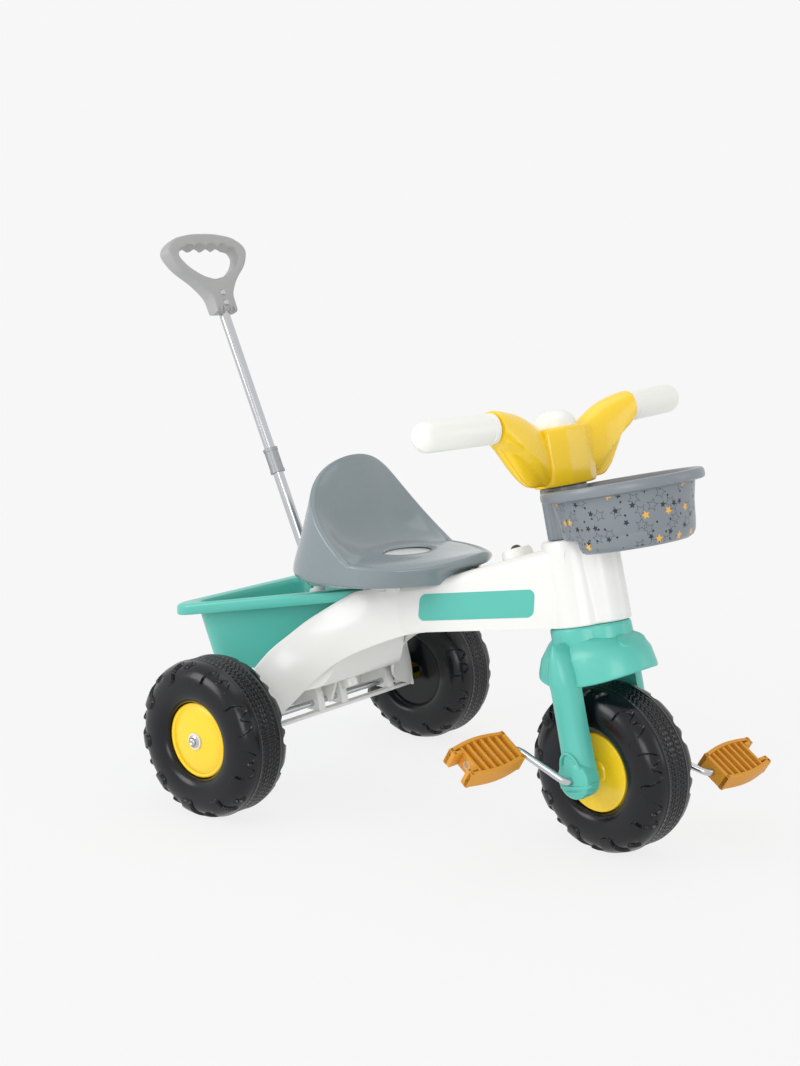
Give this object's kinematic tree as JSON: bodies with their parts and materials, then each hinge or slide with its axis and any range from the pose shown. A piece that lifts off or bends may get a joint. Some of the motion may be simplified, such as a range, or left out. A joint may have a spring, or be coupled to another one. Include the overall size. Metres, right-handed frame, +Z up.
{
  "type": "toddler push-along trike",
  "caption": "Toddler trike with front-wheel pedals, steered fork, moulded seat, front basket, rear load bucket and a lift-out parent push handle.",
  "frame": {"origin": "middle of the outline at floor level", "axes": "+X towards the front wheel, +Y to the rider's left, +Z up"},
  "size_m": [0.7655, 0.481, 0.6847],
  "materials": {
    "frame_white": "smooth moulded",
    "seat_grey": "smooth moulded",
    "teal": "smooth moulded",
    "yellow": "smooth moulded",
    "grip_white": "smooth moulded",
    "basket_grey": "smooth moulded with a printed front",
    "push_grey": "fine moulded",
    "ochre": "moulded",
    "tyre_black": "blow moulded tread",
    "bearing_white": "moulded",
    "chrome": "bright plated",
    "bolt_steel": "plated"
  },
  "bodies": {
    "frame": {"main_frame": "frame_white", "seat": "seat_grey", "seat_bolt_front": "bolt_steel", "seat_bolt_rear": "bolt_steel", "beam_bolt": "bolt_steel", "rear_axle": "chrome", "axle_cap_right": "chrome", "axle_cap_left": "chrome", "axle_washer_right": "bearing_white", "axle_washer_left": "bearing_white", "head_bush_upper": "bearing_white", "head_bush_lower": "bearing_white", "bucket": "teal", "bucket_screw_right": "bolt_steel", "bucket_screw_left": "bolt_steel"},
    "push_handle": {"lower_tube": "chrome", "upper_tube": "chrome", "joint_collar": "chrome", "handle_grip": "push_grey", "grip_screw_upper": "bolt_steel", "grip_screw_lower": "bolt_steel"},
    "steering": {"fork": "teal", "axle_clip_right": "teal", "axle_clip_left": "teal", "steering_column": "bolt_steel", "column_pin": "bolt_steel", "handlebar": "yellow", "grip_right": "grip_white", "grip_left": "grip_white", "basket": "basket_grey", "horn_spring": "bolt_steel"},
    "horn": {"horn_button": "grip_white"},
    "front_wheel": {"front_tyre": "tyre_black", "front_hub_right": "yellow", "front_hub_left": "yellow", "crank_axle": "chrome", "pedal_cap_right": "bolt_steel", "pedal_cap_left": "bolt_steel"},
    "right_pedal": {"pedal_right": "ochre"},
    "left_pedal": {"pedal_left": "ochre"},
    "rear_wheel_right": {"rear_tyre_right": "tyre_black", "rear_hub_right": "yellow"},
    "rear_wheel_left": {"rear_tyre_left": "tyre_black", "rear_hub_left": "yellow"}
  },
  "joints": [
    {"name": "steering_turn", "type": "hinge", "parent": "frame", "child": "steering", "pos_m": [0.27928, 0, 0.09557], "axis": [-0.225, 0, 0.9744], "range_deg": [-33.5, 50.5]},
    {"name": "front_wheel_spin", "type": "hinge", "parent": "steering", "child": "front_wheel", "pos_m": [0.27928, 0, 0.09557], "axis": [0.144, 0.989, 0.0332], "continuous": true},
    {"name": "pedal_right_spin", "type": "hinge", "parent": "front_wheel", "child": "right_pedal", "pos_m": [0.20785, -0.1443, 0.12561], "axis": [0.144, 0.989, 0.0332], "continuous": true},
    {"name": "pedal_left_spin", "type": "hinge", "parent": "front_wheel", "child": "left_pedal", "pos_m": [0.35757, 0.14286, 0.07864], "axis": [0.144, 0.989, 0.0332], "continuous": true},
    {"name": "rear_wheel_right_spin", "type": "hinge", "parent": "frame", "child": "rear_wheel_right", "pos_m": [-0.15072, -0.203, 0.095], "axis": [0, 1, 0], "continuous": true},
    {"name": "rear_wheel_left_spin", "type": "hinge", "parent": "frame", "child": "rear_wheel_left", "pos_m": [-0.15072, 0.203, 0.095], "axis": [0, 1, 0], "continuous": true},
    {"name": "push_handle_lift", "type": "slide", "parent": "frame", "child": "push_handle", "axis": [-0.421, 0, 0.907], "range_m": [0, 0.1]},
    {"name": "horn_press", "type": "slide", "parent": "steering", "child": "horn", "axis": [0.225, 0, -0.9744], "range_m": [0, 0.004], "stiffness_N_per_m": 400, "springref_m": -0.002, "deforming": ["horn_spring"]}
  ]
}
